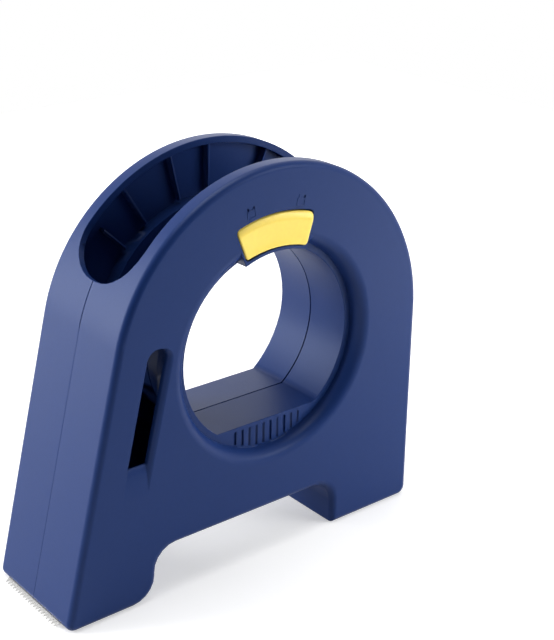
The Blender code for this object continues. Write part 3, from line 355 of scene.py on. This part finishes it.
def breakEdges(piece):
    # rounds the chosen edges of a case half; the merges stay small, so that its mesh stays closed
    size = caseHalves
    editAll()
    bpy.ops.mesh.remove_doubles(threshold=size["merge"])
    bpy.ops.mesh.select_all(action="DESELECT")
    bpy.ops.mesh.select_mode(type="EDGE")
    mesh = bmesh.from_edit_mesh(piece.data)
    for edge in mesh.edges:
        if isMouldedEdge(edge):
            edge.select_set(True)
    bmesh.update_edit_mesh(piece.data)
    bpy.ops.mesh.bevel(offset=size["edge"], segments=size["steps"], affect="EDGES", clamp_overlap=False)
    bpy.ops.mesh.select_mode(type="VERT")
    bpy.ops.mesh.select_all(action="SELECT")
    bpy.ops.mesh.dissolve_degenerate(threshold=size["speck"])
    endEdit()


print("scene: dressing the case")
dress(mergedCopy("near_shell", "nearHalf", shape=breakEdges), navyPlastic, "case")
dress(mergedCopy("far_shell", "farHalf", shape=breakEdges), navyPlastic, "cover")


rocker = {
    "inner": 37.3 * mm, "outer": 48.6 * mm, "halfAngle": math.radians(18.85), "lean": math.radians(1.8),
    "corner": 1.3 * mm, "thickness": 2.3 * mm, "proud": 1.0 * mm, "tilt": math.radians(-3.4),
    "pivotDepth": 4.0 * mm, "columns": 72, "rows": 34, "wallSteps": 4, "smooth": math.radians(50),
    "edge": 0.7 * mm, "brow": 2.5 * mm, "browDrop": 1.15 * mm, "browPower": 1.25, "dish": 0.45 * mm,
    "ribHalf": 3.2 * mm, "ribLow": 118.1 * mm, "ribHigh": 125.6 * mm, "ribBack": 5.8 * mm,
    "ribOverlap": 0.4 * mm, "ribEdge": 0.4 * mm, "ribSteps": 2, "ribSmooth": math.radians(35),
}


def rockerDrop(inside, fromTop, along, across):
    # how far the cap's face lies below its highest level, from the distances to its edges
    size = rocker
    drop = 0.0
    if inside < size["edge"]:
        reach = size["edge"] - inside
        drop += size["edge"] - math.sqrt(max(size["edge"] ** 2 - reach ** 2, 0))
    if fromTop < size["brow"]:
        drop += size["browDrop"] * (1 - fromTop / size["brow"]) ** size["browPower"]
    bowl = max(0.0, 1 - along ** 2) * max(0.0, 1 - across ** 4)
    return drop + size["dish"] * bowl


def tiltRocker(piece):
    # leans a piece of the rocker about its pivot pin, the way it rests when the lock is closed
    pivot = Vector((hubAxis.x, nearFace + rocker["pivotDepth"], 0))
    turn = Matrix.Translation(pivot) @ Matrix.Rotation(rocker["tilt"], 4, "Z") @ Matrix.Translation(-pivot)
    piece.data.transform(turn)


def makeRockerCap():
    # a flat grid with walls, bent to the hub's arc: its rows are radii and its columns are angles
    size = rocker
    middle = (size["inner"] + size["outer"]) / 2
    halfTall = (size["outer"] - size["inner"]) / 2
    halfLong = size["halfAngle"] * middle
    roundStart = halfTall - size["corner"]
    wallStep = (0, 0, -1 / size["wallSteps"])
    deselectAll()
    bpy.ops.mesh.primitive_grid_add(x_subdivisions=size["columns"], y_subdivisions=size["rows"], size=2)
    cap = bpy.context.object
    cap.name = "rockerCap"
    editAll()
    for _ in range(size["wallSteps"]):
        bpy.ops.mesh.extrude_region_move(TRANSFORM_OT_translate={"value": wallStep})
    endEdit()
    for vertex in cap.data.vertices:
        across, up, level = vertex.co
        tall = halfTall * math.sin(up * math.pi / 2)
        over = max(0.0, abs(tall) - roundStart)
        pulled = size["corner"] - math.sqrt(max(size["corner"] ** 2 - over ** 2, 0))
        half = halfLong - pulled
        along = half * math.sin(across * math.pi / 2)
        inside = min(half - abs(along), halfTall - abs(tall))
        drop = rockerDrop(inside, halfTall - tall, along / halfLong, tall / halfTall)
        if level < 0:
            drop += (size["thickness"] - drop) * -level
        angle = math.pi / 2 + size["lean"] - along / middle
        radius = middle + tall
        vertex.co = (hubAxis.x + radius * math.cos(angle), nearFace - size["proud"] + drop,
                     hubAxis.z + radius * math.sin(angle))
    tiltRocker(cap)
    editAll()
    bpy.ops.mesh.normals_make_consistent(inside=False)
    endEdit()
    bpy.ops.object.shade_smooth_by_angle(angle=size["smooth"])
    return cap


def makeRockerRib():
    # the block behind the cap that reaches to the pivot pin
    size = rocker
    front = nearFace - size["proud"] + size["thickness"] - size["ribOverlap"]
    back = nearFace + size["ribBack"]
    place = (hubAxis.x, (front + back) / 2, (size["ribLow"] + size["ribHigh"]) / 2)
    deselectAll()
    bpy.ops.mesh.primitive_cube_add(size=1, location=place)
    rib = bpy.context.object
    rib.name = "rockerRib"
    rib.scale = (2 * size["ribHalf"], back - front, size["ribHigh"] - size["ribLow"])
    applyPlace(rib)
    editAll()
    bpy.ops.mesh.bevel(offset=size["ribEdge"], segments=size["ribSteps"])
    endEdit()
    tiltRocker(rib)
    bpy.ops.object.shade_smooth_by_angle(angle=size["ribSmooth"])
    return rib


print("scene: shaping the lock")
cap = makeRockerCap()
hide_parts("lock_rocker")
dress(cap, yellowPlastic, "lock")
dress(makeRockerRib(), yellowPlastic, "lock")
dressCopies([
    ("lock_hook", "hookStrip", 0.12 * mm, rodSteel, "lock", "steel"),
    ("lock_pivot", "pivotPin", 0.2 * mm, rodSteel, "case", "steel"),
])


marks = {
    "line": 0.6 * mm, "height": 0.16 * mm, "bodyWide": 3.8 * mm, "bodyTall": 3.0 * mm, "corner": 0.5 * mm,
    "cornerSteps": 3, "bowRadius": 1.25 * mm, "bowRise": 1.3 * mm, "bowSteps": 12, "bowProud": 0.001 * mm,
    "merge": 0.001 * mm, "lift": 0.03 * mm,
    "closed": {"place": (-11.4 * mm, 128.2 * mm), "lean": math.radians(11), "open": 0.0},
    "open": {"place": (9.0 * mm, 128.5 * mm), "lean": math.radians(-12), "open": 1.7 * mm},
}


def makeMarkBody(name):
    # a raised frame with rounded corners
    size = marks
    deselectAll()
    bpy.ops.mesh.primitive_plane_add(size=1)
    body = bpy.context.object
    body.name = name
    body.scale = (size["bodyWide"], size["bodyTall"], 1)
    applyPlace(body)
    editAll()
    bpy.ops.mesh.bevel(affect="VERTICES", offset=size["corner"], segments=size["cornerSteps"])
    bpy.ops.mesh.select_all(action="SELECT")
    bpy.ops.mesh.inset(thickness=size["line"])
    bpy.ops.mesh.delete(type="FACE")
    bpy.ops.mesh.select_all(action="SELECT")
    bpy.ops.mesh.extrude_region_move(TRANSFORM_OT_translate={"value": (0, 0, size["height"])})
    endEdit()
    return body


def makeMarkBow(gap):
    # a bar bent to a half circle; the gap is what its second leg lacks
    size = marks
    rise = size["bowRise"]
    deselectAll()
    bpy.ops.mesh.primitive_plane_add(size=1)
    bow = bpy.context.object
    bow.scale = (size["line"], size["height"] + size["bowProud"], 1)
    bow.location = (size["bowRadius"], 0, 0)
    applyPlace(bow)
    editAll()
    bpy.ops.transform.rotate(value=math.pi / 2, orient_axis="X", center_override=(0, 0, 0))
    bpy.ops.mesh.extrude_region_move(TRANSFORM_OT_translate={"value": (0, rise, 0)})
    bpy.ops.mesh.spin(steps=size["bowSteps"], angle=math.pi, center=(0, rise, 0), axis=(0, 0, 1))
    bpy.ops.mesh.extrude_region_move(TRANSFORM_OT_translate={"value": (0, gap - rise, 0)})
    bpy.ops.mesh.select_all(action="SELECT")
    bpy.ops.mesh.remove_doubles(threshold=size["merge"])
    foot = size["bodyTall"] / 2 - size["line"] / 2
    bpy.ops.transform.translate(value=(0, foot, size["height"] / 2))
    endEdit()
    return bow


def makeMark(name, spec):
    # a raised padlock outline over one end of the rocker
    body = makeMarkBody(name)
    bow = makeMarkBow(spec["open"])
    makeActive(body)
    bow.select_set(True)
    bpy.ops.object.join()
    editAll()
    bpy.ops.mesh.normals_make_consistent(inside=False)
    endEdit()
    x, z = spec["place"]
    body.rotation_euler = (math.pi / 2, -spec["lean"], 0)
    body.location = (hubAxis.x + x, nearFace + marks["lift"], z)
    applyPlace(body)
    return body


print("scene: marking the lock's two ends")
for label in ("closed", "open"):
    dress(makeMark(label + "PadlockMark", marks[label]), navyPlastic, "case")


print("scene: dressing the cutter and the rollers")
dressCopies([
    ("cutter_blade", "toothedStrip", 0.05 * mm, stripSteel, "case", "steel"),
    ("cutter_bar", "cutterBar", 0.25 * mm, blackPlastic, "case", "black"),
    ("bar_screw_lower", "lowerScrew", 0.1 * mm, rodSteel, "case", "steel"),
    ("bar_screw_upper", "upperScrew", 0.1 * mm, rodSteel, "case", "steel"),
    ("guide_roller", "guideRoller", 0.2 * mm, whitePlastic, "guide", "white"),
    ("guide_axle", "guideAxle", 0.25 * mm, rodSteel, "case", "steel"),
    ("press_roller", "pressCore", 0.2 * mm, whitePlastic, "press", "white"),
    ("press_tyre", "pressTyre", 0.1 * mm, greyRubber, "press", "rubber"),
    ("press_axle", "pressAxle", 0.25 * mm, rodSteel, "case", "steel"),
])


# Distances are in metres and powers in watts, and focal is in pixels of a picture imageTall pixels tall.
# A lamp has its name, place, width, height and power, and whether it shows in reflections.
studio = {
    "azimuth": math.radians(-39.3), "elevation": math.radians(22.7), "roll": math.radians(0.8),
    "distance": 0.483, "aim": (18.7 * mm, 0, 76.6 * mm), "shift": -0.0011, "nearest": 0.01,
    "focal": 1347.4, "imageTall": 640, "sensor": 36,
    "lampAim": (0, 0, 0.07),
    "lamps": [
        ("leftBox", (-0.70, 0.60, 0.24), 0.6, 0.46, 5.4, False),
        ("leftSheen", (-0.70, 0.62, 0.38), 0.6, 0.75, 8.8, True),
        ("topBox", (-0.04, 0.02, 0.95), 0.6, 0.6, 5.4, True),
        ("rightBox", (0.30, -0.21, 0.05), 0.18, 0.18, 1.2, False),
        ("backBox", (0.52, 0.64, 0.40), 0.5, 0.4, 0.6, True),
        ("browBox", (0.36, -0.45, 0.36), 0.26, 0.18, 1.1, True),
    ],
    "ambient": 0.52, "shade": 0.02, "darkSide": (-0.50, -0.80, 0.30), "fadeStart": -0.25, "fadeEnd": 0.9,
    "floorSize": 1.2, "floorDrop": 0.2 * mm, "floorColour": 0.76, "floorRoughness": 0.9,
    "floorGlow": 0.41, "floorGloss": 0.25, "glowStart": 0.2, "glowEnd": 0.5,
}
white = (1, 1, 1, 1)


def makeCamera():
    view = studio
    az, el = view["azimuth"], view["elevation"]
    back = Vector((math.sin(az) * math.cos(el), -math.cos(az) * math.cos(el), math.sin(el)))
    aim = Vector(view["aim"]) + Vector((hubAxis.x, seamY, 0))
    camera = bpy.data.cameras.new("camera")
    camera.sensor_fit = "VERTICAL"
    camera.sensor_height = view["sensor"]
    camera.lens = view["sensor"] * view["focal"] / view["imageTall"]
    camera.shift_x = view["shift"]
    camera.clip_start = view["nearest"]
    rig = bpy.data.objects.new("camera", camera)
    bpy.context.scene.collection.objects.link(rig)
    rig.location = aim + back * view["distance"]
    turn = back.to_track_quat("Z", "Y") @ Matrix.Rotation(view["roll"], 4, "Z").to_quaternion()
    rig.rotation_euler = turn.to_euler()
    bpy.context.scene.camera = rig


def makeLamp(name, place, wide, tall, power, mirrored):
    lamp = bpy.data.lights.new(name, "AREA")
    lamp.shape = "RECTANGLE"
    lamp.size, lamp.size_y = wide, tall
    lamp.energy = power
    rig = bpy.data.objects.new(name, lamp)
    bpy.context.scene.collection.objects.link(rig)
    rig.location = place
    rig.visible_glossy = mirrored
    rig.visible_camera = False
    away = Vector(place) - Vector(studio["lampAim"])
    rig.rotation_euler = away.to_track_quat("Z", "Y").to_euler()


def smoothRange(tree, value, start, end, low, high):
    node = tree.nodes.new("ShaderNodeMapRange")
    node.interpolation_type = "SMOOTHSTEP"
    tree.links.new(value, node.inputs["Value"])
    limits = {"From Min": start, "From Max": end, "To Min": low, "To Max": high}
    for label, limit in limits.items():
        node.inputs[label].default_value = limit
    return node.outputs["Result"]


def seenDirectly(tree, path):
    return mathNode(tree, "MAXIMUM", path.outputs["Is Camera Ray"], path.outputs["Is Transmission Ray"])


def makeFloor():
    # white to the camera, with the object's shadow left in it; its glow grows away from the object, so
    # that the floor has no visible edge
    view = studio
    deselectAll()
    bpy.ops.mesh.primitive_plane_add(size=view["floorSize"], location=(0, 0, -view["floorDrop"]))
    floor = bpy.context.object
    floor.name = "studioFloor"
    material = bpy.data.materials.new("paleFloor")
    material.use_nodes = True
    tree = material.node_tree
    shader = tree.nodes["Principled BSDF"]
    shader.inputs["Base Color"].default_value = (view["floorColour"],) * 3 + (1,)
    shader.inputs["Roughness"].default_value = view["floorRoughness"]
    shader.inputs["Specular IOR Level"].default_value = 0.0
    glow = tree.nodes.new("ShaderNodeEmission")
    glow.inputs["Color"].default_value = white
    path = tree.nodes.new("ShaderNodeLightPath")
    away = tree.nodes.new("ShaderNodeVectorMath")
    away.operation = "LENGTH"
    tree.links.new(tree.nodes.new("ShaderNodeTexCoord").outputs["Object"], away.inputs[0])
    start, end = view["glowStart"], view["glowEnd"]
    rise = smoothRange(tree, away.outputs["Value"], start, end, view["floorGlow"], 1.0)
    plain = mathNode(tree, "MULTIPLY", seenDirectly(tree, path), rise)
    mirrored = mathNode(tree, "MULTIPLY", path.outputs["Is Glossy Ray"], view["floorGloss"])
    tree.links.new(mathNode(tree, "MAXIMUM", plain, mirrored), glow.inputs["Strength"])
    total = tree.nodes.new("ShaderNodeAddShader")
    tree.links.new(shader.outputs["BSDF"], total.inputs[0])
    tree.links.new(glow.outputs["Emission"], total.inputs[1])
    tree.links.new(total.outputs["Shader"], tree.nodes["Material Output"].inputs["Surface"])
    floor.data.materials.append(material)


def makeWorld():
    # soft light from all round but the camera's side, and a white backdrop
    view = studio
    world = bpy.data.worlds.new("studioWorld")
    bpy.context.scene.world = world
    world.use_nodes = True
    tree = world.node_tree
    background = tree.nodes["Background"]
    background.inputs["Color"].default_value = white
    direction = tree.nodes.new("ShaderNodeTexCoord").outputs["Generated"]
    dot = tree.nodes.new("ShaderNodeVectorMath")
    dot.operation = "DOT_PRODUCT"
    tree.links.new(direction, dot.inputs[0])
    dot.inputs[1].default_value = Vector(view["darkSide"]).normalized()
    start, end = view["fadeStart"], view["fadeEnd"]
    fade = smoothRange(tree, dot.outputs["Value"], start, end, 1.0, view["shade"])
    path = tree.nodes.new("ShaderNodeLightPath")
    strength = mathNode(tree, "MAXIMUM", path.outputs["Is Glossy Ray"], view["ambient"])
    soft = mathNode(tree, "MULTIPLY", strength, fade)
    tree.links.new(mathNode(tree, "MAXIMUM", soft, seenDirectly(tree, path)), background.inputs["Strength"])


print("scene: setting up the studio")
makeCamera()
for lampSpec in studio["lamps"]:
    makeLamp(*lampSpec)
makeFloor()
makeWorld()
bpy.context.scene.view_settings.view_transform = "Standard"

print("scene: done")
